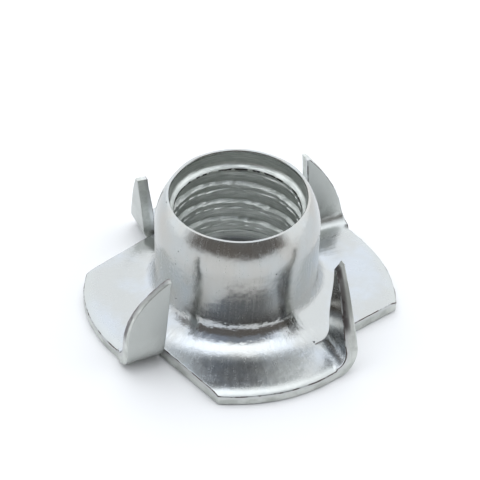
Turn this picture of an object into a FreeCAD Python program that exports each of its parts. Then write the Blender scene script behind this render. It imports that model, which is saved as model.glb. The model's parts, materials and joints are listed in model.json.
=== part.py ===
"""Pronged tee nut: one pressing of zinc-plated sheet steel.

A threaded barrel stands on a round flange. Four slits run in from the flange's rim, and the
steel beside each slit is bent up as a sharp prong, so that a pinwheel of four petals is left.
The fine thread isn't modelled here: the bore has the diameter over the thread's crests.

Frame: millimetres, +Z along the barrel. The origin is on the barrel's axis, in the plane
of the flange's flat underside. The screw comes in at the mouth, which is the barrel's top.
"""
import FreeCAD
import Part
import Sketcher
import math
import os

from FreeCAD import Placement, Rotation, Vector

doc = FreeCAD.newDocument("tee_nut")

# ---------------------------------------------------------------- sizes
# Each row: name, value in millimetres or degrees, and what it is.
SIZES = (
    ("overall_height", 5.5, "underside of the flange to the lip"),
    ("crest_diameter", 5.4, "bore over the thread's crests"),
    ("barrel_wall", 0.8, "bore to the outside of the straight barrel"),
    ("mouth_step", 0.15, "how much wider the smooth mouth is than the bore, on the radius"),
    ("mouth_depth", 0.55, "depth of the smooth mouth"),
    ("lip_width", 0.15, "flat end of the wall round the mouth"),
    ("shoulder_height", 1.5, "length over which the barrel's end is drawn in to the lip"),
    ("sheet_thickness", 0.55, "flange and prongs"),
    ("flange_diameter", 13.3, "blanked rim of the flange"),
    ("neck_fillet", 1.0, "hollow radius from the barrel to the flange"),
    ("bell_radius", 1.4, "rounded entry of the bore on the underside"),
    ("prong_count", 4, "prongs, equally spaced"),
    ("slit_margin", 0.45, "flat steel between the neck and the inner end of a slit"),
    ("root_angle", -45.0, "where the inner end of the first slit lies, about the axis"),
    ("slit_sweep", 39.6, "angle about the axis from a slit's inner end to its mouth in the rim"),
    ("bend_skew", 19.0, "how far a bend line is turned back from the radial line"),
    ("bend_radius", 0.6, "hollow radius of a prong's bend"),
    ("prong_lean", 1.0, "how far a prong is bent past upright"),
    ("prong_height", 4.35, "underside of the flange to a prong's tip"),
    ("tip_inset", 0.45, "how far the tip stands in past the inner end of the slit"),
    ("tip_width", 0.3, "blunt end of the tip"),
    ("edge_drift", 0.4, "how far the rim's curve brings a prong's outer edge in round the bend"),
    ("edge_hollow", 0.8, "hollow radius where the rim runs up into a prong's outer edge"),
    ("corner_radius", 0.35, "rounding of a petal's corner, in plan"),
    ("rim_roll", 0.12, "rounded upper edge that blanking leaves on the rim"),
)
# Two lengths closer than this are the same length.
SAME_PLACE = 0.001


def write_sizes():
    """The driving dimensions, one to a row, each with its name as alias."""
    sheet = doc.addObject("Spreadsheet::Sheet", "sizes")
    for row, (name, value, meaning) in enumerate(SIZES, start=1):
        sheet.set(f"A{row}", name)
        sheet.set(f"B{row}", str(value))
        sheet.set(f"C{row}", meaning)
        sheet.setAlias(f"B{row}", name)
    doc.recompute()
    return sheet


sizes = write_sizes()

# Worked-out sizes, as formulas on the sheet's cells. All radii are from the barrel's axis.
BORE = "(sizes.crest_diameter / 2)"
BARREL = f"({BORE} + sizes.barrel_wall)"
MOUTH = f"({BORE} + sizes.mouth_step)"
LIP = f"({MOUTH} + sizes.lip_width)"
NECK_FOOT = f"({BARREL} + sizes.neck_fillet)"
ROOT = f"({NECK_FOOT} + sizes.slit_margin)"
RIM = "(sizes.flange_diameter / 2)"
# The slit's inner end, called the root, and the slit's mouth at the petal's sharp corner.
ROOT_X = f"({ROOT} * cos(sizes.root_angle))"
ROOT_Y = f"({ROOT} * sin(sizes.root_angle))"
CORNER_ANGLE = "(sizes.root_angle + sizes.slit_sweep)"
# The bend line leaves the root outward and meets the rim a prong's width further on.
BEND_HEADING = "(sizes.root_angle - sizes.bend_skew)"
PRONG_WIDTH = f"(sqrt({RIM} ^ 2 - ({ROOT} * sin(sizes.bend_skew)) ^ 2) - {ROOT} * cos(sizes.bend_skew))"
# The bend's angle from the flat, and the radius of its outside.
TURN = "(90 + sizes.prong_lean)"
OUTSIDE_BEND = "(sizes.bend_radius + sizes.sheet_thickness)"


# ---------------------------------------------------------------- drawing
def origin_item(body, role):
    """One of a body's own origin planes or axes."""
    return next(item for item in body.Origin.OriginFeatures if item.Role == role)


def new_sketch(body, name, role):
    """Sketch on one of its own body's origin planes."""
    sketch = body.newObject("Sketcher::SketchObject", name)
    sketch.AttachmentSupport = [(origin_item(body, role), "")]
    sketch.MapMode = "FlatFace"
    return sketch


def upright_sketch(body, name, heading):
    """Sketch that stands on the root: its X axis lies along a heading and its Y axis is up."""
    sketch = new_sketch(body, name, "XZ_Plane")
    sketch.AttachmentOffset = Placement(Vector(), Rotation(Vector(0, 1, 0), 0))
    sketch.setExpression("AttachmentOffset.Rotation.Angle", heading)
    sketch.setExpression("AttachmentOffset.Base.x", ROOT_X)
    sketch.setExpression("AttachmentOffset.Base.z", f"-{ROOT_Y}")
    doc.recompute()
    return sketch


def bind(sketch, constraint, name, formula):
    """Adds a dimension to a sketch and ties it to the sheet."""
    index = sketch.addConstraint(constraint)
    sketch.renameConstraint(index, name)
    sketch.setExpression("Constraints." + name, formula)


def arc_between(start, end, radius):
    """Arc under a half turn: it turns left for a plus radius and right for a minus one."""
    chord = end - start
    rise = math.sqrt(radius ** 2 - (chord.Length / 2) ** 2)
    left = Vector(-chord.y, chord.x, 0).normalize()
    centre = (start + end) / 2 + left * math.copysign(rise, radius)
    first, last = (start, end) if radius > 0 else (end, start)
    angles = [math.atan2(point.y - centre.y, point.x - centre.x) for point in (first, last)]
    circle = Part.Circle(centre, Vector(0, 0, 1), abs(radius))
    return Part.ArcOfCircle(circle, *angles)


def draw_outline(sketch, corners, arcs=None):
    """Closed outline through named corners whose places are formulas on the sheet.

    arcs gives, for a corner's name, which way the arc that runs on from it turns, 1 for left
    and -1 for right, and that arc's radius. Every other side is a straight line.
    """
    arcs = arcs or {}
    points = [Vector(sketch.evalExpression(x), sketch.evalExpression(y), 0) for _, x, y in corners]
    starts, ends = [], []
    for index, (name, _, _) in enumerate(corners):
        start, end = points[index], points[(index + 1) % len(points)]
        turn, formula = arcs.get(name, (1, None))
        if formula is None:
            side = sketch.addGeometry(Part.LineSegment(start, end))
        else:
            radius = sketch.evalExpression(formula)
            side = sketch.addGeometry(arc_between(start, end, turn * radius))
            bind(sketch, Sketcher.Constraint("Radius", side, radius), name + "_arc", formula)
        starts.append((side, 1 if turn > 0 else 2))
        ends.append((side, 2 if turn > 0 else 1))
    for index, (name, x, y) in enumerate(corners):
        sketch.addConstraint(Sketcher.Constraint("Coincident", *ends[index - 1], *starts[index]))
        across = Sketcher.Constraint("DistanceX", -1, 1, *starts[index], points[index].x)
        bind(sketch, across, name + "_x", x)
        along = Sketcher.Constraint("DistanceY", -1, 1, *starts[index], points[index].y)
        bind(sketch, along, name + "_y", y)


# ---------------------------------------------------------------- features
def cut_right_through(body, sketch, name):
    """Pocket that goes through everything on both sides of its sketch."""
    before = body.Shape.Volume
    cut = body.newObject("PartDesign::Pocket", name)
    cut.Profile = sketch
    cut.Type = "ThroughAll"
    cut.SideType = "Symmetric"
    doc.recompute()
    if not cut.Shape.Volume < before - SAME_PLACE:
        raise ValueError(f"{name} cuts nothing")
    return cut


def ring_of(body, name, mode, originals=()):
    """Repeats features, or the whole body, once for each prong round the axis."""
    pattern = body.newObject("PartDesign::PolarPattern", name)
    pattern.TransformMode = mode
    pattern.Originals = list(originals)
    pattern.Axis = (origin_item(body, "Z_Axis"), [""])
    pattern.Angle = 360
    pattern.setExpression("Occurrences", "sizes.prong_count")
    body.Tip = pattern
    doc.recompute()
    return pattern


def round_edges(body, name, size, wanted):
    """Rounds every edge of the body so far that the test picks out."""
    base = body.Tip
    names = [f"Edge{number}" for number, edge in enumerate(base.Shape.Edges, start=1) if wanted(edge)]
    rounding = body.newObject("PartDesign::Fillet", name)
    rounding.Base = (base, names)
    rounding.setExpression("Radius", size)
    body.Tip = rounding
    doc.recompute()


# ---------------------------------------------------------------- barrel and flange
def turn_barrel_and_flange(body):
    """The drawn barrel and the flat disc, as one half section turned about the axis."""
    section = new_sketch(body, "half_section", "XZ_Plane")
    top = "sizes.overall_height"
    sheet = "sizes.sheet_thickness"
    shoulder = "sizes.shoulder_height"
    mouth_floor = f"({top} - sizes.mouth_depth)"
    draw_in = f"({BARREL} - {LIP})"
    draw_outline(
        section,
        [
            ("bell_edge", f"{BORE} + sizes.bell_radius", "0"),
            ("rim_under", RIM, "0"),
            ("rim_over", RIM, sheet),
            ("neck_foot", NECK_FOOT, sheet),
            ("neck_top", BARREL, f"{sheet} + sizes.neck_fillet"),
            ("shoulder_foot", BARREL, f"{top} - {shoulder}"),
            ("lip_outside", LIP, top),
            ("lip_inside", MOUTH, top),
            ("mouth_floor", MOUTH, mouth_floor),
            ("bore_top", BORE, f"{mouth_floor} - sizes.mouth_step"),
            ("bore_foot", BORE, "sizes.bell_radius"),
        ],
        arcs={
            "neck_foot": (-1, "sizes.neck_fillet"),
            "shoulder_foot": (1, f"({shoulder} ^ 2 + {draw_in} ^ 2) / (2 * {draw_in})"),
            "bore_foot": (1, "sizes.bell_radius"),
        },
    )
    turned = body.newObject("PartDesign::Revolution", "barrel_and_flange")
    turned.Profile = section
    turned.ReferenceAxis = (section, ["V_Axis"])
    turned.Angle = 360
    doc.recompute()


def cut_notches(body):
    """What the prongs leave open: from each bend line round to the next petal's corner."""
    outline = new_sketch(body, "notch_outline", "XY_Plane")
    bend_x = f"2 * {RIM} * cos({BEND_HEADING})"
    bend_y = f"2 * {RIM} * sin({BEND_HEADING})"
    slit_x = f"2 * ({RIM} * cos({CORNER_ANGLE}) - {ROOT_X})"
    slit_y = f"2 * ({RIM} * sin({CORNER_ANGLE}) - {ROOT_Y})"
    draw_outline(
        outline,
        [
            ("root", ROOT_X, ROOT_Y),
            ("past_bend", f"{ROOT_X} + {bend_x}", f"{ROOT_Y} + {bend_y}"),
            ("outside", f"{ROOT_X} + {bend_x} + {slit_x}", f"{ROOT_Y} + {bend_y} + {slit_y}"),
            ("past_corner", f"{ROOT_X} + {slit_x}", f"{ROOT_Y} + {slit_y}"),
        ],
    )
    notch = cut_right_through(body, outline, "notch")
    ring_of(body, "notches", "Features", [notch])


def is_petal_corner(edge):
    """An upright edge on the rim, at the sharp corner of a petal."""
    low, high = edge.Vertexes[0].Point, edge.Vertexes[-1].Point
    upright = math.dist((low.x, low.y), (high.x, high.y)) < SAME_PLACE < abs(high.z - low.z)
    on_rim = abs(math.hypot(low.x, low.y) - sizes.flange_diameter / 2) < SAME_PLACE
    if not (upright and on_rim):
        return False
    corner_angle = sizes.root_angle + sizes.slit_sweep
    share = 360 / sizes.prong_count
    apart = (math.degrees(math.atan2(low.y, low.x)) - corner_angle) % share
    return min(apart, share - apart) < 1


def is_rim_top(edge):
    """The stretches of the rim's upper edge that lie on the blanked circle."""
    middle = edge.valueAt((edge.FirstParameter + edge.LastParameter) / 2)
    on_top = all(abs(vertex.Z - sizes.sheet_thickness) < SAME_PLACE for vertex in edge.Vertexes)
    return on_top and abs(math.hypot(middle.x, middle.y) - sizes.flange_diameter / 2) < SAME_PLACE


# ---------------------------------------------------------------- prongs
def bend_strip(body):
    """A wide strip of the sheet, bent up along the bend line."""
    section = upright_sketch(body, "bend_section", f"{BEND_HEADING} + 90")
    hollow = "sizes.bend_radius"
    reach = "sizes.prong_height"
    draw_outline(
        section,
        [
            ("foot_under", "0", "0"),
            ("bend_outside", f"{OUTSIDE_BEND} * sin({TURN})",
             f"{OUTSIDE_BEND} * (1 - cos({TURN}))"),
            ("end_outside", f"{OUTSIDE_BEND} * sin({TURN}) + {reach} * cos({TURN})",
             f"{OUTSIDE_BEND} * (1 - cos({TURN})) + {reach} * sin({TURN})"),
            ("end_inside", f"{hollow} * sin({TURN}) + {reach} * cos({TURN})",
             f"{OUTSIDE_BEND} - {hollow} * cos({TURN}) + {reach} * sin({TURN})"),
            ("bend_inside", f"{hollow} * sin({TURN})", f"{OUTSIDE_BEND} - {hollow} * cos({TURN})"),
            ("foot_over", "0", "sizes.sheet_thickness"),
        ],
        arcs={
            "foot_under": (1, OUTSIDE_BEND),
            "bend_inside": (-1, hollow),
        },
    )
    strip = body.newObject("PartDesign::Pad", "bent_strip")
    strip.Profile = section
    strip.SideType = "Symmetric"
    strip.setExpression("Length", f"4 * ({PRONG_WIDTH} + sizes.tip_inset)")
    doc.recompute()


def trim_to_fin(body):
    """Cuts away all of the strip outside the fin: its inner side was the slit, and its outer
    side was part of the rim before the prong was bent."""
    outline = upright_sketch(body, "fin_outline", BEND_HEADING)
    tip = "-sizes.tip_inset"
    draw_outline(
        outline,
        [
            ("foot_inner", "0", "-sizes.sheet_thickness"),
            ("foot_outer", PRONG_WIDTH, "-sizes.sheet_thickness"),
            ("edge_start", PRONG_WIDTH, "sizes.sheet_thickness"),
            ("edge_turn", f"{PRONG_WIDTH} - sizes.edge_drift", OUTSIDE_BEND),
            ("tip_outer", f"{tip} + sizes.tip_width", "sizes.prong_height - sizes.tip_width / 2"),
            ("tip_inner", tip, "sizes.prong_height"),
            ("slit_start", "0", "sizes.sheet_thickness"),
        ],
        arcs={
            "edge_start": (-1, "sizes.edge_hollow"),
            "edge_turn": (1, RIM),
        },
    )
    far = f"(3 * ({PRONG_WIDTH} + sizes.tip_inset))"
    high = "3 * sizes.prong_height"
    draw_outline(
        outline,
        [
            ("frame_a", f"-{far}", f"-{high}"),
            ("frame_b", far, f"-{high}"),
            ("frame_c", far, high),
            ("frame_d", f"-{far}", high),
        ],
    )
    cut_right_through(body, outline, "fin_trim")


def trim_to_rim(body):
    """Keeps the bend inside the round edge that the sheet was blanked to."""
    ring = new_sketch(body, "rim_circle", "XY_Plane")
    for name, formula in (("rim", RIM), ("clear", f"3 * {RIM}")):
        radius = ring.evalExpression(formula)
        circle = ring.addGeometry(Part.Circle(Vector(), Vector(0, 0, 1), radius))
        ring.addConstraint(Sketcher.Constraint("Coincident", circle, 3, -1, 1))
        bind(ring, Sketcher.Constraint("Radius", circle, radius), name, formula)
    cut_right_through(body, ring, "rim_trim")


def make_prongs():
    """All the prongs, standing where they grow out of the petals' ends."""
    body = doc.addObject("PartDesign::Body", "prongs")
    bend_strip(body)
    trim_to_fin(body)
    trim_to_rim(body)
    ring_of(body, "prong_ring", "Whole shape")
    return body


# ---------------------------------------------------------------- the whole nut
def make_tee_nut():
    """The pressing: barrel and flange, notched, its edges rounded, with its prongs."""
    body = doc.addObject("PartDesign::Body", "tee_nut")
    turn_barrel_and_flange(body)
    cut_notches(body)
    round_edges(body, "petal_corners", "sizes.corner_radius", is_petal_corner)
    round_edges(body, "rolled_rim", "sizes.rim_roll", is_rim_top)
    joined = body.newObject("PartDesign::Boolean", "prongs_joined")
    joined.Type = "Fuse"
    joined.setObjects([make_prongs()])
    body.Tip = joined
    body.Label = "tee_nut"
    doc.recompute()
    return body


def check(parts):
    """Stops unless every object of the document is sound and each part is one good solid."""
    for item in doc.Objects:
        if {"Invalid", "Error"} & set(item.State):
            raise ValueError(f"{item.Name} failed: {item.State}")
    for part in parts:
        shape = part.Shape
        if shape.isNull() or not shape.isValid() or len(shape.Solids) != 1:
            raise ValueError(f"{part.Label} isn't one good solid")


def write(parts):
    """One STEP file for each part, named after its label."""
    os.makedirs("parts", exist_ok=True)
    for part in parts:
        part.Shape.exportStep(f"parts/{part.Label}.step")
        box = part.Shape.BoundBox
        print(f"{part.Label}: {part.Shape.Volume:.3f} mm3, "
              f"{box.XLength:.3f} x {box.YLength:.3f} x {box.ZLength:.3f} mm")


nut_parts = [make_tee_nut()]
check(nut_parts)
write(nut_parts)
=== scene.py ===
# %% [markdown]
# A pronged tee nut, pressed from zinc-plated sheet steel. The sizes, the axis and the height of
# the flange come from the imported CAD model, which is loaded first and never moved. Everything
# below is worked out in millimetres and scaled to metres at the end, because a nut this small is
# easier to think about that way. The piece made here stands for the CAD solid and adds what the
# solid leaves out: the thread, the torn edges, the roll at the rim and the small unevenness of
# a cheap pressing.

# %% The frame and its sizes
import json
import math

import bmesh
import bpy
from mathutils import Matrix, Vector, noise

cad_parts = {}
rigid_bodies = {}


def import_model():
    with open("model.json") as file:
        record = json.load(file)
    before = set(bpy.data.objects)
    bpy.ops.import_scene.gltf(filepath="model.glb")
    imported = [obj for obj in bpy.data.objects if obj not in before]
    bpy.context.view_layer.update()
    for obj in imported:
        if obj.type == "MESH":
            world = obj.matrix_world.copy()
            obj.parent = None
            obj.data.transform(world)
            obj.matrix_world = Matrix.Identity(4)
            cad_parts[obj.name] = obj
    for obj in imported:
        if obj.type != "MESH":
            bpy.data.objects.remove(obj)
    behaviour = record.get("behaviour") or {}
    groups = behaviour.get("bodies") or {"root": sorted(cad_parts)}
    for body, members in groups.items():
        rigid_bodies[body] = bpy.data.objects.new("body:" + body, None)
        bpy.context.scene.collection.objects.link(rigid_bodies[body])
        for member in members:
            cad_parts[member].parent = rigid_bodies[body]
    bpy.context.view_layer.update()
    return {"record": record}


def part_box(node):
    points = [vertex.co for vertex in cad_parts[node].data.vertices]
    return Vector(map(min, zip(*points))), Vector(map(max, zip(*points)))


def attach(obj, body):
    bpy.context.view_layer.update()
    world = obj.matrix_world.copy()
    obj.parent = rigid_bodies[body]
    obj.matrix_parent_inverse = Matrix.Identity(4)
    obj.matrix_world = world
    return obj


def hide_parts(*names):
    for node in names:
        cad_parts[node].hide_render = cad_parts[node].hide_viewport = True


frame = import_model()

MM = 0.001
low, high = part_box("tee_nut")
mounts = {mount["name"]: mount for mount in frame["record"]["mounts"]}
TOP = high.z / MM
RIM = (high.x - low.x) / 2 / MM
SHEET = mounts["board_seat"]["pos_m"][2] / MM
BARREL = mounts["barrel"]["dims"]["r_mm"]
CREST = mounts["thread"]["dims"]["r_mm"]
print(f"height {TOP:.2f}, rim radius {RIM:.2f}, sheet {SHEET:.2f}, barrel radius {BARREL:.2f} mm")

# %% [markdown]
# The barrel and the middle of the flange are round, so one half section turned about the axis
# makes them. The section is drawn like a pen line: a vertex is extruded for each straight run
# and spun about a centre for each curve. Drawing it this way keeps every arc a true arc. The
# section starts at the foot of the neck, climbs the outside, goes over the lip and down the bore,
# and ends on the underside below the point where it started.

# %% Drawing the half section
JOINT = 4.5
NECK_TIGHT, NECK_WIDE, NECK_CHANGE = 1.0, 2.0, math.radians(65)
NECK_FOOT = BARREL + NECK_TIGHT + (NECK_WIDE - NECK_TIGHT) * math.cos(NECK_CHANGE)
NECK_TOP = SHEET + NECK_WIDE - (NECK_WIDE - NECK_TIGHT) * math.sin(NECK_CHANGE)
LIP_OUTSIDE, MOUTH = 3.0, 2.87
SHOULDER, BELL = 1.5, 1.4
ROUND_STEPS = 256
BORE_ROWS = 104


def only(kind, geometry):
    """The vertices, edges or faces among what an operator gives back."""
    return [item for item in geometry if isinstance(item, kind)]


def run(bm, pen, radius, height, steps=1):
    """Draws a straight line from the pen to a new place in the section."""
    stride = (Vector((radius, 0, height)) - pen.co) / steps
    for _ in range(steps):
        new = bmesh.ops.extrude_vert_indiv(bm, verts=[pen])["verts"][0]
        new.co = pen.co + stride
        pen = new
    return pen


def curve(bm, pen, radius, height, degrees, steps):
    """Draws an arc from the pen about a centre; plus turns from outward towards up."""
    made = bmesh.ops.spin(
        bm, geom=[pen], cent=(radius, 0, height), axis=(0, -1, 0), dvec=(0, 0, 0),
        angle=math.radians(degrees), steps=steps, use_merge=False, use_duplicate=False)
    return only(bmesh.types.BMVert, made["geom_last"])[0]


def neck_height(radius):
    """Height of the sheet's upper face near the neck, where its curve runs out."""
    short = max(0.0, NECK_FOOT - radius)
    return SHEET + NECK_WIDE - math.sqrt(NECK_WIDE ** 2 - short ** 2)


def half_section(bm):
    """The section's line, from the flange over the lip to the underside."""
    pen = bm.verts.new((JOINT, 0, neck_height(JOINT)))
    first = math.degrees(math.acos((NECK_FOOT - JOINT) / NECK_WIDE) - NECK_CHANGE)
    pen = curve(bm, pen, NECK_FOOT, SHEET + NECK_WIDE, -first, 6)
    pen = curve(bm, pen, BARREL + NECK_TIGHT, NECK_TOP, -math.degrees(NECK_CHANGE), 14)
    pen = run(bm, pen, BARREL, TOP - SHOULDER, 14)
    draw_in = BARREL - LIP_OUTSIDE
    big = (SHOULDER ** 2 + draw_in ** 2) / (2 * draw_in)
    turn = math.degrees(math.asin(SHOULDER / big))
    pen = curve(bm, pen, BARREL - big, TOP - SHOULDER, turn, 18)
    pen = run(bm, pen, LIP_OUTSIDE - 0.03, TOP, 1)
    pen = run(bm, pen, MOUTH + 0.03, TOP, 2)
    pen = run(bm, pen, MOUTH, TOP - 0.04, 1)
    pen = run(bm, pen, MOUTH, BELL, BORE_ROWS)
    pen = run(bm, pen, CREST + 0.02, BELL - 0.08, 3)
    pen = curve(bm, pen, CREST + 0.02 + BELL - 0.08, BELL - 0.08, 90, 12)
    return run(bm, pen, JOINT, 0, 3)


START = math.radians(-135)
body = bmesh.new()
half_section(body)
bmesh.ops.rotate(body, verts=body.verts, cent=(0, 0, 0), matrix=Matrix.Rotation(START, 3, "Z"))
bmesh.ops.spin(
    body, geom=body.verts[:] + body.edges[:], cent=(0, 0, 0), axis=(0, 0, 1), dvec=(0, 0, 0),
    angle=math.tau, steps=ROUND_STEPS, use_merge=True, use_duplicate=False)
bmesh.ops.remove_doubles(body, verts=body.verts, dist=0.001)
print(f"turned body: {len(body.faces)} faces")

# %% [markdown]
# The thread is pressed into the bore, not cut, so it is shallow and its crests are round with a
# faint split along the top, where the steel met from both sides. It could be a swept coil joined
# on, but the bore already has fine rows, so moving each row in or out by the height of the helix
# at its angle gives the same ridge in one watertight wall.

# %% Pressing the thread
PITCH = 1.0
ROOT_OF_THREAD, TOP_OF_THREAD = 2.92, 2.73
THREAD_PHASE = 0.085
LEDGE_TOP, LEDGE_FOOT, LEDGE = 0.50, 0.74, 2.66


def smooth(low_edge, high_edge, value):
    """0 at the first edge, 1 at the second, and a smooth rise between them."""
    share = min(1.0, max(0.0, (value - low_edge) / (high_edge - low_edge)))
    return share * share * (3 - 2 * share)


def thread_height(share):
    """How far the wall comes in, 0 to 1, at a share of one turn of the helix."""
    from_crest = abs((share % 1.0) - 0.5) * 2
    ridge = 1 - smooth(0.40, 0.62, from_crest)
    split = 0.30 * (1 - smooth(0.0, 0.09, from_crest))
    return ridge - split


def press_thread(bm):
    """Moves the bore's wall in along a right-hand helix."""
    for vert in bm.verts:
        radius = math.hypot(vert.co.x, vert.co.y)
        height = vert.co.z
        if abs(radius - MOUTH) > 0.01 or height < BELL - 0.01 or height > TOP - 0.05:
            continue
        angle = math.atan2(vert.co.y, vert.co.x)
        share = height / PITCH - angle / math.tau + THREAD_PHASE
        uneven = noise.noise(Vector((vert.co.x, vert.co.y, height * 2.5)))
        inner = thread_height(share + 0.035 * uneven) * (1 + 0.25 * uneven)
        wall = ROOT_OF_THREAD - (ROOT_OF_THREAD - TOP_OF_THREAD) * inner
        depth = TOP - height + 0.02 * uneven
        ledge = smooth(LEDGE_FOOT + 0.10, LEDGE_FOOT, depth)
        wall = wall + (LEDGE - wall) * ledge
        in_mouth = smooth(LEDGE_FOOT - 0.02, LEDGE_TOP, depth)
        at_foot = 1 - smooth(BELL, BELL + 0.25, height)
        wall = wall + (MOUTH - wall) * in_mouth
        wall = wall + (CREST + 0.02 - wall) * at_foot
        vert.co.x *= wall / radius
        vert.co.y *= wall / radius


press_thread(body)
for vert in body.verts:
    near_lip = smooth(TOP - 0.9, TOP, vert.co.z)
    if near_lip > 0 and vert.co.xy.length > MOUTH - 0.02:
        angle = math.atan2(vert.co.y, vert.co.x)
        at_back = smooth(-0.2, 1.0, math.sin(angle))
        ripple = noise.noise(Vector((2.2 * math.cos(angle), 2.2 * math.sin(angle), 0.4)))
        vert.co.z += near_lip * (0.10 * at_back + 0.035 * ripple)
        vert.co.xy *= 1 + near_lip * (0.018 * at_back + 0.006 * ripple)
bore_radii = [v.co.xy.length for v in body.verts if BELL < v.co.z < TOP - 1 and v.co.xy.length < 3.2]
print(f"bore from {min(bore_radii):.2f} to {max(bore_radii):.2f} mm radius, pitch {PITCH:.2f} mm")

# %% [markdown]
# The flange was blanked round and slit four times, so it is a pinwheel of four petals. Each petal
# is a quarter ring, made by spinning a radial line, whose outer rows are then squeezed round
# between the slit and the bend line. The rows and columns that are left run along every cut edge,
# which makes the edges easy to round and to roughen. The four petals aren't alike: the
# blank wasn't quite centred and each corner was torn a little differently, so each has its own
# corner and its own rim radii.

# %% The four petals
SEAM_ROWS, PETAL_ROWS, PETAL_COLUMNS = 3, 16, ROUND_STEPS // 4
ROOT = 4.95
BEND_SKEW = math.radians(19)
# How much wider than even the columns stand at a petal's two ends, at the rim, how many mm the
# root row dips inwards between those ends, and how soon it does.
END_SPACING, ROOT_DIP, DIP_RATE = 0.55, 0.22, 24
# Front, right, back and left petal: corner angle past the slit's root, corner radius, and rim
# radii at equal steps from the corner to the bend.
PETALS = (
    {"corner": 40.0, "rim": (6.68, 6.65, 6.64, 6.63, 6.60), "width": 1.72},
    {"corner": 38.6, "rim": (7.00, 6.88, 6.74, 6.58, 6.50), "width": 1.72},
    {"corner": 39.6, "rim": (6.64, 6.65, 6.64, 6.56, 6.40), "width": 1.60},
    {"corner": 41.0, "rim": (6.56, 6.60, 6.56, 6.48, 6.40), "width": 1.52},
)


def along(values, share):
    """A smooth line through equally spaced values."""
    place = min(max(share, 0.0), 1.0) * (len(values) - 1)
    index = min(int(place), len(values) - 2)
    before = values[max(index - 1, 0)]
    first, second = values[index], values[index + 1]
    after = values[min(index + 2, len(values) - 1)]
    t = place - index
    bend_in, bend_out = (second - before) / 2, (after - first) / 2
    return (first * (1 + 2 * t) * (1 - t) ** 2 + bend_in * t * (1 - t) ** 2
            + second * t * t * (3 - 2 * t) - bend_out * t * t * (1 - t))


def polar(radius, angle):
    """A point of the flat sheet."""
    return Vector((radius * math.cos(angle), radius * math.sin(angle), 0))


def squeeze(petal, across, out):
    """Where a point of the quarter ring goes: across from slit to bend, out from root to rim."""
    quarter = math.pi / 2
    corner = polar(petal["rim"][0], math.radians(petal["corner"]))
    slit = polar(ROOT, 0).lerp(corner, out)
    heading = quarter - BEND_SKEW
    bend = polar(ROOT, quarter) + polar(petal["width"] * out, heading)
    slit_angle, bend_angle = math.atan2(slit.y, slit.x), math.atan2(bend.y, bend.x)
    eased = across + END_SPACING * out * math.sin(math.tau * across) / math.tau
    angle = slit_angle + (bend_angle - slit_angle) * eased
    radius = slit.length * (1 - across) + bend.length * across
    dip = (1 - math.exp(-across * DIP_RATE)) * (1 - math.exp((across - 1) * DIP_RATE))
    radius -= ROOT_DIP * dip * (1 - out)
    ends = corner.length * (1 - across) + bend.length * across
    radius += (along(petal["rim"], eased) - ends) * out ** 3 * (1 if 0 < across < 1 else 0)
    return radius, angle


def make_petal(bm, petal, start):
    """One quarter of the flange's upper skin; gives back the edges along its bend line."""
    column = bm.verts.layers.int["column"]
    pen = bm.verts.new(polar(JOINT, start))
    line = [pen]
    for _ in range(SEAM_ROWS + PETAL_ROWS):
        pen = bmesh.ops.extrude_vert_indiv(bm, verts=[pen])["verts"][0]
        pen.co += polar(0.1, start)
        line.append(pen)
    for number, vert in enumerate(line):
        vert[column] = number
    edges = [edge for vert in line for edge in vert.link_edges]
    before = set(bm.verts)
    made = bmesh.ops.spin(
        bm, geom=line + list(set(edges)), cent=(0, 0, 0), axis=(0, 0, 1), dvec=(0, 0, 0),
        angle=math.pi / 2, steps=PETAL_COLUMNS, use_merge=False, use_duplicate=False)
    quarter = line + [vert for vert in bm.verts if vert not in before]
    for vert in quarter:
        turned = (math.atan2(vert.co.y, vert.co.x) - start) % math.tau
        across = 0.0 if turned > 6 else turned / (math.pi / 2)
        if across > 0.9999:
            across = 1.0
        if across < 0.0001:
            across = 0.0
        number = vert[column]
        if number <= SEAM_ROWS:
            root_radius, angle = squeeze(petal, across, 0.0)
            radius = JOINT + (root_radius - JOINT) * number / SEAM_ROWS
            angle = across * math.pi / 2
        else:
            radius, angle = squeeze(petal, across, (number - SEAM_ROWS) / PETAL_ROWS)
        vert.co = polar(radius, start + angle) + Vector((0, 0, SHEET))
    last = only(bmesh.types.BMEdge, made["geom_last"])
    return [edge for edge in last if min(vert[column] for vert in edge.verts) >= SEAM_ROWS]


for petal in PETALS:
    print(f"petal: corner at {petal['rim'][0]:.2f} mm, bend line {petal['width']:.2f} mm long")


# %% [markdown]
# A prong is the same sheet carried on past the bend line: the edges along the line are extruded
# again and again, first round the bend and then straight up. Extruding keeps it one skin with
# the petal, so the thickness that comes later runs through the bend as it does in real sheet.
# One side of the prong was the slit, and is nearly straight. The other was part of the rim, and
# curves in to the tip.

# %% Bending up the prongs
BEND_ROWS, FIN_ROWS = 12, 26
# For each petal's prong: tip height, hollow radius of the bend, where the tip's two sides stand
# along the bend line's direction, how the outer side curves, how many degrees past upright it
# leans, how far it flares out again, and how much lower (or, below 0, higher) and thinner the
# hollow side is at the tip.
PRONGS = (
    {"height": 4.42, "hollow": 0.55, "inner": -0.45, "outer": -0.20, "curve": 1.50, "lean": 1.0,
     "flare": 0.05, "slant": 0.40, "thin": 0.22},
    {"height": 4.52, "hollow": 0.50, "inner": -0.36, "outer": -0.22, "curve": 2.10, "lean": 1.0,
     "flare": 0.00, "slant": 0.00, "thin": 0.02},
    {"height": 3.92, "hollow": 0.26, "inner": -0.20, "outer": 0.02, "curve": 1.60, "lean": -4.0,
     "flare": 0.10, "slant": 0.10, "thin": 0.06},
    {"height": 4.21, "hollow": 0.66, "inner": -0.55, "outer": -0.42, "curve": 4.20, "lean": 1.4,
     "flare": -0.12, "slant": -0.16, "thin": 0.34},
)


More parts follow.
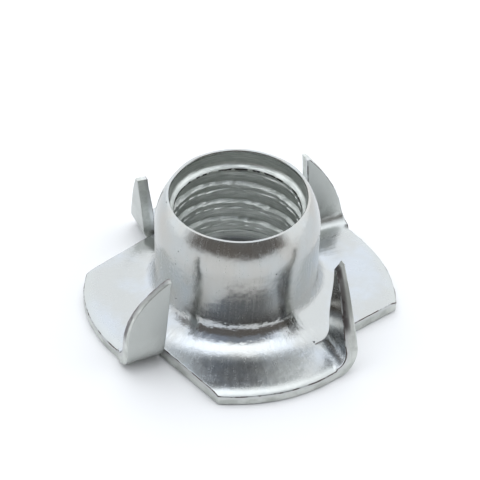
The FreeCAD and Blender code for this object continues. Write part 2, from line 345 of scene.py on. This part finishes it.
def spread(number, width):
    """Place of a column across a prong, with edge strips that stay wide where it is narrow."""
    strip = max(width / PETAL_ROWS, min(0.055, 0.3 * width))
    if number == 0:
        return 0.0
    if number == PETAL_ROWS:
        return width
    middle = (width - 2 * strip) / (PETAL_ROWS - 2)
    return strip + middle * (number - 1)


def make_prong(bm, number, width, edges, start):
    """Carries the skin on from the bend line's edges up to the tip."""
    prong = PRONGS[number]
    column, which = bm.verts.layers.int["column"], bm.verts.layers.int["prong"]
    reach = bm.verts.layers.float["reach"]
    heading = start + math.pi / 2 - BEND_SKEW
    root = polar(ROOT, start + math.pi / 2) + Vector((0, 0, SHEET))
    outward, over = polar(1, heading), polar(1, heading + math.pi / 2)
    turn = math.radians(90 + prong["lean"])
    centre_line = prong["hollow"] + SHEET / 2
    bend_length = centre_line * turn
    straight = (prong["height"] - SHEET - prong["hollow"]) / math.sin(turn)
    for row in range(1, BEND_ROWS + FIN_ROWS + 1):
        made = bmesh.ops.extrude_edge_only(bm, edges=edges)["geom"]
        edges = only(bmesh.types.BMEdge, made)
        if row <= BEND_ROWS:
            angle, up = turn * row / BEND_ROWS, 0.0
            length = centre_line * angle
        else:
            angle, up = turn, straight * (row - BEND_ROWS) / FIN_ROWS
            length = bend_length + up
        share = length / (bend_length + straight)
        inner = prong["inner"] * share
        outer = width + (prong["outer"] - width) * share ** prong["curve"]
        side = prong["hollow"] * math.sin(angle) + up * math.cos(angle)
        side += prong["flare"] * smooth(0.35, 1.15, share)
        lift = prong["hollow"] * (1 - math.cos(angle)) + up * math.sin(angle)
        for vert in only(bmesh.types.BMVert, made):
            place = inner + spread(vert[column] - SEAM_ROWS, outer - inner)
            vert.co = root + outward * place + over * side + Vector((0, 0, lift))
            vert[reach], vert[which] = share, number


skin = bmesh.new()
skin.verts.layers.int.new("column")
skin.verts.layers.int.new("prong")
for layer in ("reach", "through", "painted_dark_reflection", "slit_root_shade", "dull"):
    skin.verts.layers.float.new(layer)
for number, petal in enumerate(PETALS):
    start = START + number * math.pi / 2
    bend_line = make_petal(skin, petal, start)
    make_prong(skin, number, petal["width"], bend_line, start)
bmesh.ops.remove_doubles(skin, verts=skin.verts, dist=0.0005)
bmesh.ops.recalc_face_normals(skin, faces=skin.faces)
if sum(face.normal.z for face in skin.faces) < 0:
    bmesh.ops.reverse_faces(skin, faces=skin.faces)
boundary = sum(1 for edge in skin.edges if edge.is_boundary)
print(f"flange skin: {len(skin.faces)} faces, {boundary} edge steps")

# %% [markdown]
# The skin now gets the sheet's thickness. Solidify leaves the skin where it is and puts a second
# one behind it, with a wall between them all round. That wall is the sheared edge, which has its
# own duller finish, so its faces take the second material. The wall along the neck's foot isn't
# an edge of the steel, and is taken out so that the barrel can join on there.

# %% Thickness, and the sheared edges
ZINC, SHEARED, BORE, EDGE_LINE = range(4)
upper = list(skin.faces)
upper_verts = list(skin.verts)
made = bmesh.ops.solidify(skin, geom=upper, thickness=SHEET)["geom"]
lower = set(only(bmesh.types.BMFace, made))
skins = lower | set(upper)
walls = [face for face in skin.faces if face not in skins]
for face in walls:
    face.material_index = SHEARED
# How far through the thickness a point lies: 0 at the upper skin, 1 at the lower one.
through = skin.verts.layers.float["through"]
for vert in skin.verts:
    vert[through] = 1.0
for vert in upper_verts:
    vert[through] = 0.0
at_neck = [face for face in walls if face.calc_center_median().xy.length < JOINT + 0.02]
bmesh.ops.delete(skin, geom=at_neck, context="FACES")
walls = [face for face in skin.faces if face.material_index == SHEARED]
print(f"walls: {len(walls)} faces along the cut edges")

# %% [markdown]
# Blanking pulls the sheet's upper surface down just before it shears, so the rim has a soft
# rolled band half a millimetre wide. The shear also ran at a slant through the prongs' tips, and
# left one face of a tip longer than the other. Both are small moves of the upper skin only, made
# after the thickness so that the underside stays flat. The rolled band also gets a duller finish,
# more so towards the rim.

# %% Rolled rim and slanted tips
ROLL_BAND, ROLL_DROP = 0.50, 0.12
reach = skin.verts.layers.float["reach"]
which = skin.verts.layers.int["prong"]
dull = skin.verts.layers.float["dull"]
for vert in upper_verts:
    if vert[reach] > 0:
        prong, number = PRONGS[vert[which]], vert[which]
        over = polar(1, START + (number + 2) * math.pi / 2 - BEND_SKEW)
        towards_tip = smooth(0.35, 1.0, vert[reach])
        vert.co.z -= prong["slant"] * towards_tip
        vert.co += over * prong["thin"] * towards_tip
        continue
    flat = vert.co.xy.length
    turned = (math.atan2(vert.co.y, vert.co.x) - START) % math.tau
    petal = PETALS[int(turned // (math.pi / 2)) % 4]
    local = math.degrees(turned % (math.pi / 2))
    share = (local - petal["corner"]) / (85.0 - petal["corner"])
    edge_radius = along(petal["rim"], share)
    into = min(1.0, max(0.0, 1 - (edge_radius - flat) / ROLL_BAND))
    fade = smooth(-0.12, 0.05, share)
    vert.co.z += neck_height(flat) - SHEET - ROLL_DROP * into ** 3.2 * fade
    vert[dull] = 0.8 * into * fade
lowest_rim = min(vert.co.z for vert in upper_verts)
highest = max(vert.co.z for vert in upper_verts)
print(f"rolled rim: upper skin from {lowest_rim:.2f} mm to {highest:.2f} mm high")

# %% [markdown]
# No edge of a pressing is sharp, and a sheared wall is never flat. The long edges are bevelled
# very slightly, so that each catches a thin line of light. The walls are then subdivided through
# the thickness and their points pushed in and out by a coarse and a fine noise. A bump in the
# material would light in the same way, but wouldn't show in the outline or in the exported mesh.

# %% Softening the edges and tearing the walls
EDGE_SOFTNESS, SOFT_STEPS = 0.032, 3
WALL_ROWS = 5
COARSE_TEAR, FINE_TEAR = 0.018, 0.010
sharp = [edge for edge in skin.edges
         if len(edge.link_faces) == 2
         and len([face for face in edge.link_faces if face.material_index == SHEARED]) == 1]
rounded = bmesh.ops.bevel(
    skin, geom=sharp, offset=EDGE_SOFTNESS, offset_type="OFFSET", segments=SOFT_STEPS, profile=0.5,
    affect="EDGES", clamp_overlap=False, material=-1, loop_slide=True)["faces"]
walls = [face for face in skin.faces if face.material_index == SHEARED]
across_wall = [edge for edge in {edge for face in walls for edge in face.edges}
               if edge.calc_length() > 0.3
               and all(face.material_index == SHEARED for face in edge.link_faces)]
bmesh.ops.subdivide_edges(skin, edges=across_wall, cuts=WALL_ROWS, use_grid_fill=True)
skin.normal_update()
inner = [vert for vert in skin.verts
         if vert.link_faces and all(face.material_index == SHEARED for face in vert.link_faces)]
for vert in inner:
    coarse = noise.noise(vert.co * 1.7)
    fine = noise.noise(Vector((vert.co.x * 9, vert.co.y * 9, vert.co.z * 4)))
    vert.co += vert.normal * (COARSE_TEAR * coarse + FINE_TEAR * fine)
print(f"softened {len(sharp)} edge steps, {len(inner)} points on the torn walls")

# %% [markdown]
# Some marks are kept as a number on each point. The zinc is dull on the prongs and beside the
# right prong's bend, where it has stretched. The upper half of the front and left prongs' walls
# is a painted dark reflection, and the walls low down at each slit's root carry painted shade.
# A texture painted by place could show them, but a number on each point is simpler and stays
# with the shape. The finishes read these numbers as attributes.

# %% Marks on each point: stretched zinc, painted dark reflection and painted shade
# Prongs have their petal's number: 0 front, 1 right, 2 back, 3 left. The stretched ones are dull
# on every side, and the others only on the outside of the bend.
# The front and left prongs get a painted dark reflection on the upper half of their walls.
DARK_REFLECTION_PRONGS = (0, 3)
STRETCHED = (1, 2)
# Painted shade at each slit's root: full within the core, gone at the reach, in millimetres from the
# root.
ROOT_SHADE_CORE, ROOT_SHADE_REACH = 0.12, 0.42
BEND_DULL, DULL_REACH = 0.55, 0.8
reach, which = skin.verts.layers.float["reach"], skin.verts.layers.int["prong"]
through, painted_dark_reflection = skin.verts.layers.float["through"], skin.verts.layers.float["painted_dark_reflection"]
slit_root_shade, dull = skin.verts.layers.float["slit_root_shade"], skin.verts.layers.float["dull"]
right_bend = polar(ROOT, START + math.pi)
over_bend = polar(1, START + math.pi * 1.5 - BEND_SKEW)
for vert in skin.verts:
    # Painted dark reflection: the upper half of the wall, towards the tip.
    if vert[which] in DARK_REFLECTION_PRONGS:
        vert[painted_dark_reflection] = smooth(0.40, 0.52, vert[reach]) * (1 - smooth(0.45, 0.62, vert[through]))
    turned = (math.atan2(vert.co.y, vert.co.x) - START) % (math.pi / 2)
    away = (polar(vert.co.xy.length, turned if turned < math.pi / 4 else turned - math.pi / 2)
            - polar(ROOT, 0)).length
    low_down = 1 - smooth(0.7, 1.1, vert.co.z)
    # Painted shade: dark near the slit's root, fading with distance from it and with height.
    vert[slit_root_shade] = (1 - smooth(ROOT_SHADE_CORE, ROOT_SHADE_REACH, away)) * low_down
    if vert[reach] > 0 and (vert[which] in STRETCHED or vert[through] > 0.6):
        vert[dull] = BEND_DULL + (1 - BEND_DULL) * smooth(0.0, 0.16, vert[reach])
    elif low_down > 0 and vert[through] < 0.6:
        short = (vert.co - right_bend).dot(over_bend)
        if -DULL_REACH < short < 0.3 and (vert.co - right_bend).xy.length < 2.2:
            vert[dull] = max(vert[dull], BEND_DULL * smooth(-DULL_REACH, 0.0, short))
for face in rounded:
    if face.is_valid:
        middle = face.calc_center_median()
        on_prong = max(vert[reach] for vert in face.verts) > 0.02
        in_hollow = max(vert[through] for vert in face.verts) < 0.6
        if in_hollow if on_prong else middle.z > SHEET * 0.6:
            face.material_index = EDGE_LINE
# The counts are of points with painted dark reflection, painted shade at the slit roots, and dull
# zinc.
print(f"reflection_darkened {sum(v[painted_dark_reflection] > 0.5 for v in skin.verts)} points, torn "
      f"{sum(v[slit_root_shade] > 0.5 for v in skin.verts)}, dulled {sum(v[dull] > 0.5 for v in skin.verts)}")

# %% [markdown]
# The flange was made with the same number of columns as the turned barrel, so the two rings of
# points at the neck lie on each other. Bringing both into one bmesh and removing doubles closes
# the seam without a boolean. The count of open edges shows whether it worked: it has to be 0.

# %% Joining the barrel to the flange
flange = bpy.data.meshes.new("flange")
skin.to_mesh(flange)
skin.free()
body.from_mesh(flange)
bpy.data.meshes.remove(flange)
bmesh.ops.remove_doubles(body, verts=[v for v in body.verts if v.is_boundary], dist=0.003)
bmesh.ops.recalc_face_normals(body, faces=body.faces)
# The bevel leaves two many-sided corners at each slit's root, and the rows cut into the walls leave
# one face more on either side of the left prong, where they stop. A diagonal of such a face can
# fall on an edge that is already there. Poking puts a point in its middle, so it needs none.
many_sided = [face for face in body.faces if len(face.verts) > 4]
bmesh.ops.poke(body, faces=many_sided)
print(f"poked {len(many_sided)} many-sided faces")
open_edges = sum(1 for edge in body.edges if not edge.is_manifold)
volume = body.calc_volume(signed=True)
print(f"joined: {len(body.faces)} faces, {open_edges} open edges, {volume:.1f} mm3")

# %% [markdown]
# The whole pressing is one piece of steel, so it becomes one object. The bore's faces get their
# own finish first. The object stays at the origin, and only its mesh is scaled to metres, which
# keeps it in the frame of the CAD model that it stands for.

# %% To metres, as one piece
for face in body.faces:
    middle = face.calc_center_median()
    if middle.xy.length < MOUTH + 0.08 and 0.9 < middle.z < TOP - 0.03:
        face.material_index = BORE
bmesh.ops.scale(body, vec=(MM, MM, MM), verts=body.verts)
for face in body.faces:
    face.smooth = True
mesh = bpy.data.meshes.new("tee_nut_pressing")
body.to_mesh(mesh)
body.free()
mesh.set_sharp_from_angle(angle=math.radians(38))
nut = bpy.data.objects.new("tee_nut_pressing", mesh)
bpy.context.scene.collection.objects.link(nut)
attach(nut, "root")
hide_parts("tee_nut")
print(f"{nut.name}: {len(mesh.polygons)} faces, {len(mesh.vertices)} points")

# %% [markdown]
# All four finishes are node trees built from the same few parts: a noise, a range fitted to
# another, a mix of two colours, a sum. Each part gets a short helper, so that a finish reads as a
# list of what is on the metal. Every pattern reads the place on the piece in millimetres.

# %% Helpers for the finishes
def add(tree, kind, **settings):
    """A new node; settings are its properties, or its inputs where a name starts with in_."""
    node = tree.nodes.new(kind)
    for name, value in settings.items():
        if name.startswith("in_"):
            node.inputs[name[3:].replace("_", " ")].default_value = value
        else:
            setattr(node, name, value)
    return node


def link(tree, source, target):
    tree.links.new(source, target)


def maths(tree, operation, first, second):
    """A maths node whose two inputs are sockets or numbers."""
    node = add(tree, "ShaderNodeMath", operation=operation)
    for socket, value in zip(node.inputs, (first, second)):
        if isinstance(value, (int, float)):
            socket.default_value = value
        else:
            link(tree, value, socket)
    return node.outputs[0]


def grain(tree, place, scale, detail=3.0, roughness=0.55):
    """A noise at so many grains to the millimetre."""
    node = add(tree, "ShaderNodeTexNoise", in_Scale=scale, in_Detail=detail, in_Roughness=roughness)
    link(tree, place, node.inputs["Vector"])
    return node.outputs["Fac"]


def fit(tree, value, low_in, high_in, low_out, high_out):
    """Stretches a range of values to another with a smooth rise, and clamps it."""
    node = add(tree, "ShaderNodeMapRange", interpolation_type="SMOOTHSTEP")
    link(tree, value, node.inputs["Value"])
    names = ("From Min", "From Max", "To Min", "To Max")
    for name, number in zip(names, (low_in, high_in, low_out, high_out)):
        node.inputs[name].default_value = number
    return node.outputs["Result"]


def blend(tree, share, first, second):
    """Mixes two colours; each is a socket or a colour."""
    node = add(tree, "ShaderNodeMix", data_type="RGBA")
    link(tree, share, node.inputs["Factor"])
    for name, value in (("A", first), ("B", second)):
        if isinstance(value, tuple):
            node.inputs[name].default_value = value
        else:
            link(tree, value, node.inputs[name])
    return node.outputs["Result"]


def start_finish(name):
    """A metallic material, its tree, its shader, and the place on the piece in millimetres."""
    material = bpy.data.materials.new(name)
    material.use_nodes = True
    tree = material.node_tree
    shader = tree.nodes["Principled BSDF"]
    shader.inputs["Metallic"].default_value = 1
    coords = add(tree, "ShaderNodeTexCoord")
    millimetres = add(tree, "ShaderNodeMapping", in_Scale=(1000, 1000, 1000))
    link(tree, coords.outputs["Object"], millimetres.inputs["Vector"])
    return material, tree, shader, millimetres.outputs["Vector"]


def raise_surface(tree, shader, height, depth):
    """Gives the shader a bump of a depth in millimetres."""
    bump = add(tree, "ShaderNodeBump", in_Strength=1.0, in_Distance=depth * MM)
    link(tree, height, bump.inputs["Height"])
    link(tree, bump.outputs["Normal"], shader.inputs["Normal"])


# %% [markdown]
# Bright zinc plate is a thin metal coat, so its shader is fully metallic and the look lies in the
# small things: a grey that drifts a little between bluer and plainer tones, fine streaks where the
# steel slid through the drawing die, an even grain of zinc crystals, and a few pits. Higher up the
# barrel the grey is tinted warm, a painted warm reflection. The streaks run up the barrel and out
# along the flange.
# A noise that reads the direction from the axis, and hardly reads the distance along the metal,
# gives both at once. The neck, which the die squeezed most, is a little lumpy, and the bent prongs
# are duller.

# %% Bright zinc
def drawn_place(tree, place):
    """Coordinates that change fast round the axis and slowly along the metal."""
    parts = add(tree, "ShaderNodeSeparateXYZ")
    link(tree, place, parts.inputs[0])
    flat = add(tree, "ShaderNodeCombineXYZ")
    link(tree, parts.outputs["X"], flat.inputs["X"])
    link(tree, parts.outputs["Y"], flat.inputs["Y"])
    length = add(tree, "ShaderNodeVectorMath", operation="LENGTH")
    link(tree, flat.outputs[0], length.inputs[0])
    heading = add(tree, "ShaderNodeVectorMath", operation="NORMALIZE")
    link(tree, flat.outputs[0], heading.inputs[0])
    scaled = add(tree, "ShaderNodeVectorMath", operation="MULTIPLY")
    link(tree, heading.outputs[0], scaled.inputs[0])
    scaled.inputs[1].default_value = (30, 30, 0)
    run_along = maths(tree, "SUBTRACT", length.outputs["Value"], parts.outputs["Z"])
    rise = add(tree, "ShaderNodeCombineXYZ")
    link(tree, maths(tree, "MULTIPLY", run_along, 0.8), rise.inputs["Z"])
    total = add(tree, "ShaderNodeVectorMath", operation="ADD")
    link(tree, scaled.outputs[0], total.inputs[0])
    link(tree, rise.outputs[0], total.inputs[1])
    return total.outputs[0]


def height_of(tree, place):
    """Height above the floor in millimetres."""
    parts = add(tree, "ShaderNodeSeparateXYZ")
    link(tree, place, parts.inputs[0])
    return parts.outputs["Z"]


def zinc_finish():
    """Bright zinc: drifting grey, drawn streaks, crystal grain and pits."""
    material, tree, shader, place = start_finish("bright_zinc")
    drift = fit(tree, grain(tree, place, 0.45, 3), 0.38, 0.62, 0, 1)
    colour = blend(tree, drift, (0.51, 0.54, 0.57, 1), (0.49, 0.50, 0.49, 1))
    # Painted warm reflection: higher up the barrel the grey is tinted warm.
    warm_reflection_share = fit(tree, height_of(tree, place), 0.9, 2.0, 0, 0.85)
    warm_reflection_tint = blend(tree, drift, (0.49, 0.51, 0.50, 1), (0.50, 0.49, 0.46, 1))
    colour = blend(tree, warm_reflection_share, colour, warm_reflection_tint)
    dull = add(tree, "ShaderNodeAttribute", attribute_name="dull").outputs["Fac"]
    colour = blend(tree, dull, colour, (0.52, 0.54, 0.52, 1))
    streaks = grain(tree, drawn_place(tree, place), 1.0, 5, 0.6)
    peel = grain(tree, place, 1.3, 2)
    crystals = grain(tree, place, 17, 4, 0.6)
    cells = add(tree, "ShaderNodeTexVoronoi", in_Scale=1.7)
    link(tree, place, cells.inputs["Vector"])
    chosen = add(tree, "ShaderNodeSeparateXYZ")
    link(tree, cells.outputs["Color"], chosen.inputs[0])
    rare = fit(tree, chosen.outputs["X"], 0.72, 0.74, 0, 1)
    pits = maths(tree, "MULTIPLY", fit(tree, cells.outputs["Distance"], 0.03, 0.075, 1, 0), rare)
    pits = maths(tree, "MULTIPLY", pits, maths(tree, "SUBTRACT", 1, dull))
    colour = blend(tree, pits, colour, (0.10, 0.10, 0.10, 1))
    link(tree, colour, shader.inputs["Base Color"])
    gloss = maths(tree, "ADD", fit(tree, streaks, 0.35, 0.70, 0.16, 0.23),
                  fit(tree, crystals, 0.3, 0.7, 0.0, 0.07))
    gloss = maths(tree, "ADD", gloss, maths(tree, "MULTIPLY", dull, 0.20))
    at_neck = maths(tree, "MULTIPLY", fit(tree, height_of(tree, place), 0.55, 0.9, 0, 1),
                    fit(tree, height_of(tree, place), 1.4, 1.9, 1, 0))
    gloss = maths(tree, "SUBTRACT", gloss, maths(tree, "MULTIPLY", at_neck, 0.09))
    link(tree, maths(tree, "ADD", gloss, maths(tree, "MULTIPLY", pits, 0.4)),
         shader.inputs["Roughness"])
    low_down = fit(tree, height_of(tree, place), 0.7, 1.4, 1.0, 0.07)
    lines = maths(tree, "ADD", maths(tree, "MULTIPLY", streaks, 0.95),
                  maths(tree, "MULTIPLY", crystals, 0.38))
    height = maths(tree, "MULTIPLY", lines, low_down)
    height = maths(tree, "ADD", height, maths(tree, "MULTIPLY", peel, 2.0))
    lumps = maths(tree, "MULTIPLY", grain(tree, place, 3.2, 4), at_neck)
    height = maths(tree, "ADD", height, maths(tree, "MULTIPLY", lumps, 2.6))
    height = maths(tree, "SUBTRACT", height, maths(tree, "MULTIPLY", pits, 3.0))
    raise_surface(tree, shader, height, 0.010)
    return material


# %% [markdown]
# A sheared wall has two zones: a smooth band where the punch slid past, then a rough one where
# the steel tore. It could be two materials, but the border wanders, so one material reads how far
# through the thickness each point lies and adds a noise to it. In the upper half of the front and
# left prongs the smooth band is painted nearly black, a painted dark reflection, and low down at
# each slit's root the walls are painted dark as painted shade.

# %% Sheared edge
def sheared_finish():
    """Torn steel under thin zinc: duller, greener and scored through the thickness."""
    material, tree, shader, place = start_finish("sheared_edge")
    squashed = add(tree, "ShaderNodeMapping", in_Scale=(1, 1, 0.3))
    link(tree, place, squashed.inputs["Vector"])
    scores = grain(tree, squashed.outputs["Vector"], 11, 4, 0.6)
    patches = fit(tree, grain(tree, place, 1.6, 4), 0.40, 0.65, 0, 1)
    depth = add(tree, "ShaderNodeAttribute", attribute_name="through")
    painted_dark_reflection = add(tree, "ShaderNodeAttribute", attribute_name="painted_dark_reflection")
    slit_root_shade = add(tree, "ShaderNodeAttribute", attribute_name="slit_root_shade")
    wander = maths(tree, "MULTIPLY", grain(tree, place, 2.2, 3), 0.5)
    torn = fit(tree, maths(tree, "ADD", depth.outputs["Fac"], wander), 0.50, 0.66, 0, 1)
    colour = blend(tree, patches, (0.66, 0.68, 0.65, 1), (0.50, 0.52, 0.49, 1))
    colour = blend(tree, torn, (0.58, 0.59, 0.58, 1), colour)
    # Painted dark reflection on the front and left prongs' walls, nearly black.
    dark = maths(tree, "MULTIPLY", painted_dark_reflection.outputs["Fac"], fit(tree, patches, 0, 1, 0.95, 0.70))
    # Painted shade in the corner at each slit's root, low down.
    dark = maths(tree, "MAXIMUM", dark, maths(tree, "MULTIPLY", slit_root_shade.outputs["Fac"], 0.9))
    colour = blend(tree, dark, colour, (0.12, 0.11, 0.11, 1))
    link(tree, colour, shader.inputs["Base Color"])
    rough = maths(tree, "ADD", fit(tree, torn, 0, 1, 0.26, 0.42),
                  maths(tree, "MULTIPLY", scores, 0.12))
    link(tree, rough, shader.inputs["Roughness"])
    raise_surface(tree, shader, scores, 0.014)
    return material


# %% [markdown]
# Inside the bore the zinc is thin and the rolled thread is scored along its length, so it is
# greyer and rougher than the outside. A noise squashed along the axis draws the scores. Just under
# the ledge at the mouth, where it overhangs the thread, a broken dark line is painted shade. The
# last finish is the narrow bevel between skin and wall, where handling has worn the zinc away in
# places.

# %% Bore and edge line
def bore_finish():
    """The pressed bore: zinc lies thinner here, greyer and matter, scored along the thread."""
    material, tree, shader, place = start_finish("pressed_bore")
    flat = add(tree, "ShaderNodeMapping", in_Scale=(1, 1, 11))
    link(tree, place, flat.inputs["Vector"])
    scores = grain(tree, flat.outputs["Vector"], 1.6, 5, 0.6)
    crystals = grain(tree, place, 14, 3)
    colour = blend(tree, fit(tree, scores, 0.35, 0.65, 0, 1), (0.53, 0.56, 0.53, 1),
                   (0.68, 0.70, 0.67, 1))
    # Painted shade: a broken dark line just under the ledge at the mouth.
    under_ledge_shade_at = TOP - LEDGE_FOOT + 0.02
    from_line = maths(tree, "SUBTRACT", height_of(tree, place), under_ledge_shade_at)
    from_line = maths(tree, "ABSOLUTE", from_line, 0)
    from_line = maths(tree, "ADD", from_line, maths(tree, "MULTIPLY", scores, 0.06))
    broken = fit(tree, grain(tree, place, 1.1, 4, 0.7), 0.43, 0.50, 0, 1)
    torn = maths(tree, "MULTIPLY", fit(tree, from_line, 0.060, 0.085, 1, 0), broken)
    chips = fit(tree, grain(tree, flat.outputs["Vector"], 0.9, 5, 0.75), 0.66, 0.70, 0, 1)
    torn = maths(tree, "MAXIMUM", torn, chips)
    # The dark colour is the painted shade under the ledge, together with the dark flecks along the
    # thread.
    colour = blend(tree, torn, colour, (0.05, 0.048, 0.045, 1))
    link(tree, colour, shader.inputs["Base Color"])
    link(tree, fit(tree, scores, 0.3, 0.7, 0.50, 0.34), shader.inputs["Roughness"])
    height = maths(tree, "ADD", scores, maths(tree, "MULTIPLY", crystals, 0.60))
    raise_surface(tree, shader, height, 0.014)
    return material


def edge_line_finish():
    """The corner where sheet and tear meet: zinc is worn through in places to dark steel."""
    material, tree, shader, place = start_finish("edge_line")
    worn = fit(tree, grain(tree, place, 1.9, 4, 0.65), 0.42, 0.56, 0, 1)
    colour = blend(tree, worn, (0.46, 0.48, 0.48, 1), (0.09, 0.07, 0.065, 1))
    link(tree, colour, shader.inputs["Base Color"])
    shader.inputs["Roughness"].default_value = 0.42
    raise_surface(tree, shader, grain(tree, place, 9, 3), 0.012)
    return material


for finish in (zinc_finish, sheared_finish, bore_finish, edge_line_finish):
    mesh.materials.append(finish())
    print(f"finish: {mesh.materials[-1].name}, {len(mesh.materials[-1].node_tree.nodes)} nodes")

# %% [markdown]
# The camera is a long lens a few centimetres from the nut, looking down on it at about 43
# degrees, and is rolled by less than two degrees. Its direction is worked out from those angles,
# and its matrix is filled in directly, which avoids a tracking constraint.

# %% Camera
ELEVATION, ROLL = math.radians(42.6), math.radians(1.75)
DISTANCE = 68.6 * MM
AIM_RIGHT, AIM_UP = 0.002934, 0.03399
LENS, FILM = 117.6, 36
forward = Vector((0, math.cos(ELEVATION), -math.sin(ELEVATION)))
right = Vector((1, 0, 0))
up = right.cross(forward)
rolled_right = right * math.cos(ROLL) + up * math.sin(ROLL)
rolled_up = up * math.cos(ROLL) - right * math.sin(ROLL)
aim = (forward + rolled_right * AIM_RIGHT + rolled_up * AIM_UP).normalized()
side = (rolled_right - aim * rolled_right.dot(aim)).normalized()
camera_data = bpy.data.cameras.new("camera")
camera_data.lens = LENS
camera_data.sensor_width = FILM
camera_data.clip_start, camera_data.clip_end = 0.001, 5
camera = bpy.data.objects.new("camera", camera_data)
camera.matrix_world = Matrix.Translation(-forward * DISTANCE) @ Matrix((
    (side.x, (-aim).cross(side).x, -aim.x, 0),
    (side.y, (-aim).cross(side).y, -aim.y, 0),
    (side.z, (-aim).cross(side).z, -aim.z, 0),
    (0, 0, 0, 1)))
bpy.context.scene.collection.objects.link(camera)
bpy.context.scene.camera = camera
print(f"camera {DISTANCE / MM:.1f} mm away, {math.degrees(ELEVATION):.1f} degrees up")

# %% [markdown]
# Small bright metal is lit by what it mirrors. The floor is white paper and the world is a white
# studio, brighter overhead. Only the front, where the maker stands, is dark, and it draws the
# dark bands under the lip and round the neck. Area lamps could do it too, but a world that reads
# the direction gives soft edges with little noise. The floor lies a hair below the nut, so that
# no two surfaces share a plane.

# %% Floor and light
FLOOR_DROP, FLOOR_HALF = 0.03, 0.6
STUDIO_WHITE = (1.0, 1.03, 1.07, 1)
DARK_LOW, DARK_HIGH = (0.13, 0.119, 0.112, 1), (0.24, 0.26, 0.30, 1)
ground = bmesh.new()
bmesh.ops.create_grid(ground, x_segments=1, y_segments=1, size=FLOOR_HALF)
bmesh.ops.translate(ground, verts=ground.verts, vec=(0, 0, -FLOOR_DROP * MM))
floor_mesh = bpy.data.meshes.new("floor")
ground.to_mesh(floor_mesh)
ground.free()
floor = bpy.data.objects.new("floor", floor_mesh)
bpy.context.scene.collection.objects.link(floor)
paper = bpy.data.materials.new("white_paper")
paper.use_nodes = True
paper.node_tree.nodes["Principled BSDF"].inputs["Base Color"].default_value = (0.9, 0.9, 0.9, 1)
paper.node_tree.nodes["Principled BSDF"].inputs["Roughness"].default_value = 0.9
floor_mesh.materials.append(paper)

world = bpy.data.worlds.new("studio")
bpy.context.scene.world = world
world.use_nodes = True
tree = world.node_tree
sky = tree.nodes["Background"]
coords = add(tree, "ShaderNodeTexCoord")
parts = add(tree, "ShaderNodeSeparateXYZ")
link(tree, coords.outputs["Generated"], parts.inputs[0])
level = add(tree, "ShaderNodeCombineXYZ")
link(tree, parts.outputs["X"], level.inputs["X"])
link(tree, parts.outputs["Y"], level.inputs["Y"])
bearing = add(tree, "ShaderNodeVectorMath", operation="NORMALIZE")
link(tree, level.outputs[0], bearing.inputs[0])
bearing_parts = add(tree, "ShaderNodeSeparateXYZ")
link(tree, bearing.outputs[0], bearing_parts.inputs[0])
narrowing = fit(tree, parts.outputs["Z"], 0.35, 0.70, 0, 0.30)
bearing_y = maths(tree, "ADD", bearing_parts.outputs["Y"], narrowing)
towards_front = fit(tree, bearing_y, -0.10, -0.55, 0, 1)
below_lights = fit(tree, parts.outputs["Z"], 0.86, 0.98, 1, 0)
dark = maths(tree, "MULTIPLY", towards_front, below_lights)
room = blend(tree, fit(tree, parts.outputs["Z"], 0.50, 0.75, 0, 1), DARK_LOW, DARK_HIGH)
link(tree, blend(tree, dark, STUDIO_WHITE, room), sky.inputs["Color"])
overhead = fit(tree, parts.outputs["Z"], 0.84, 0.97, 1.38, 2.1)
link(tree, overhead, sky.inputs["Strength"])

bpy.context.scene.view_settings.view_transform = "Standard"
print(f"floor {FLOOR_DROP} mm below the nut, {len(tree.nodes)} nodes in the studio's light")
